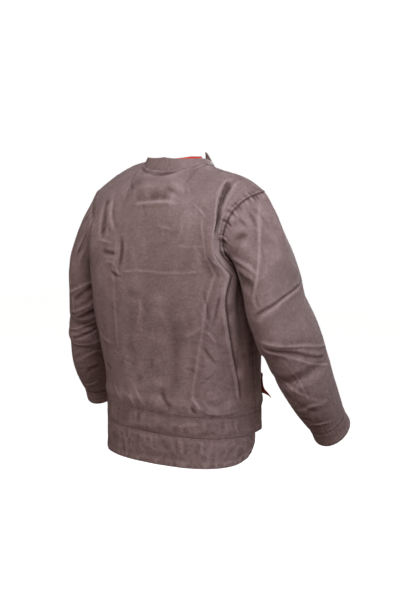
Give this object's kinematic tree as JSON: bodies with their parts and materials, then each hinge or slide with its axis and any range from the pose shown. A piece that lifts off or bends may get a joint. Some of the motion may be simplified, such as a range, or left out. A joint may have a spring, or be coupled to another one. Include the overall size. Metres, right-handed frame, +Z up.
{
  "type": "protective work anorak",
  "caption": "Hip-length cotton work anorak in its worn shape, open at neck, cuffs and hem, with a stand collar, a waistband and a dropped tail.",
  "frame": {"origin": "centre of the neck opening, level with the inner ends of the shoulder seams", "axes": "+Z up, the wearer faces -Y, the wearer's right side at -X"},
  "size_m": [0.8408, 0.3478, 0.8006],
  "materials": {
    "taupe_cotton": "matte woven cotton canvas",
    "red_cotton": "matte woven cotton"
  },
  "bodies": {
    "root": {"back_panel": "taupe_cotton", "front_panel_right": "taupe_cotton", "front_panel_left": "taupe_cotton", "band_back": "taupe_cotton", "band_right": "taupe_cotton", "band_left": "taupe_cotton", "tail": "taupe_cotton", "cuff_right": "taupe_cotton", "cuff_left": "taupe_cotton", "collar": "taupe_cotton", "placket": "taupe_cotton", "sleeve_upper_right": "taupe_cotton", "sleeve_elbow_right": "taupe_cotton", "sleeve_lower_right": "taupe_cotton", "sleeve_upper_left": "taupe_cotton", "sleeve_elbow_left": "taupe_cotton", "sleeve_lower_left": "taupe_cotton", "collar_facing": "red_cotton", "pocket_flap_right": "red_cotton", "pocket_flap_left": "red_cotton"}
  },
  "joints": []
}
